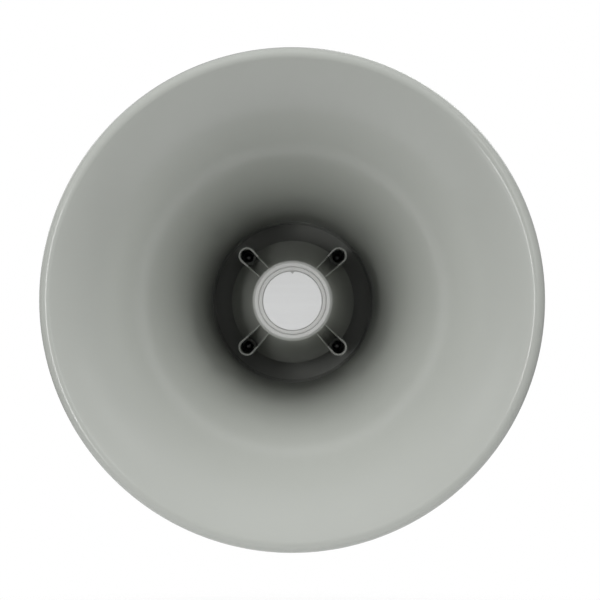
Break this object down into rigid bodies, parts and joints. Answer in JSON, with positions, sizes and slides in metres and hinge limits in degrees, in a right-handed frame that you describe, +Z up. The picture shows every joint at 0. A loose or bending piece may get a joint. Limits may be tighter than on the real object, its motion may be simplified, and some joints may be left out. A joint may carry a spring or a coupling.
{
  "type": "horn loudspeaker",
  "caption": "Round re-entrant public-address horn with a rolled lip, a central reflector and cap, and a compression driver, tilting on a U bracket.",
  "frame": {"origin": "middle of the outer face of the bracket's base, which lies against a wall", "axes": "+Z up, +Y into the wall, the horn's mouth faces -Y, +X to the right seen from the front"},
  "size_m": [0.505, 0.5901, 0.505],
  "materials": {
    "bell_paint": "satin",
    "housing_paint": "satin",
    "reflector_plastic": "satin",
    "cap_plastic": "satin",
    "badge_metal": "satin",
    "bracket_paint": "satin",
    "driver_paint": "satin",
    "dark_plastic": "matte",
    "knob_plastic": "satin",
    "gland_plastic": "satin",
    "rubber": "matte",
    "fibre": "matte",
    "surround_cloth": "matte",
    "film": "satin",
    "winding_tape": "satin",
    "lead_insulation": "satin",
    "ferrite": "matte",
    "bare_aluminium": "satin",
    "steel": "satin",
    "zinc": "satin",
    "zinc_sheet": "satin",
    "lamination": "matte",
    "copper": "satin"
  },
  "bodies": {
    "bracket": {"bracket": "bracket_paint"},
    "horn": {"outer_bell": "bell_paint", "rear_housing": "housing_paint", "reflector": "reflector_plastic", "cap_ring": "cap_plastic", "badge_disc": "badge_metal", "driver_body": "driver_paint", "rear_cover": "driver_paint", "phase_plug": "dark_plastic", "terminal_block": "dark_plastic", "tap_switch": "dark_plastic", "gland_body": "gland_plastic", "gland_nut": "gland_plastic", "bell_gasket": "rubber", "driver_gasket": "rubber", "cover_gasket": "rubber", "gland_seal": "rubber", "friction_washer_left": "fibre", "friction_washer_right": "fibre", "diaphragm_surround": "surround_cloth", "transformer_winding": "winding_tape", "lead_wire_1": "lead_insulation", "lead_wire_2": "lead_insulation", "magnet": "ferrite", "throat_horn": "bare_aluminium", "clamp_ring": "bare_aluminium", "top_plate": "steel", "pole_yoke": "steel", "bell_bolt_1": "zinc", "bell_bolt_2": "zinc", "bell_bolt_3": "zinc", "bell_bolt_4": "zinc", "throat_screw_1": "zinc", "throat_screw_2": "zinc", "throat_screw_3": "zinc", "reflector_screw_1": "zinc", "reflector_screw_2": "zinc", "reflector_screw_3": "zinc", "reflector_screw_4": "zinc", "cap_screw": "zinc", "tilt_bolt_left": "zinc", "tilt_bolt_right": "zinc", "bolt_washer_left": "zinc", "bolt_washer_right": "zinc", "motor_screw_1": "zinc", "motor_screw_2": "zinc", "motor_screw_3": "zinc", "transformer_screw_1": "zinc", "transformer_screw_2": "zinc", "cover_screw_1": "zinc", "cover_screw_2": "zinc", "cover_screw_3": "zinc", "cover_screw_4": "zinc", "transformer_strap": "zinc_sheet", "transformer_core": "lamination"},
    "diaphragm": {"diaphragm": "film", "voice_coil": "copper"},
    "selector": {"selector_knob": "knob_plastic"}
  },
  "joints": [
    {"name": "tilt", "type": "hinge", "parent": "bracket", "child": "horn", "pos_m": [0, -0.185, 0], "axis": [1, 0, 0], "range_deg": [-80, 80]},
    {"name": "diaphragm_travel", "type": "slide", "parent": "horn", "child": "diaphragm", "axis": [0, 1, 0], "range_m": [-0.0004, 0.0004], "stiffness_N_per_m": 2000},
    {"name": "tap_selector", "type": "hinge", "parent": "horn", "child": "selector", "pos_m": [0, -0.0304, -0.026], "axis": [0, 1, 0], "range_deg": [-60, 60]}
  ]
}
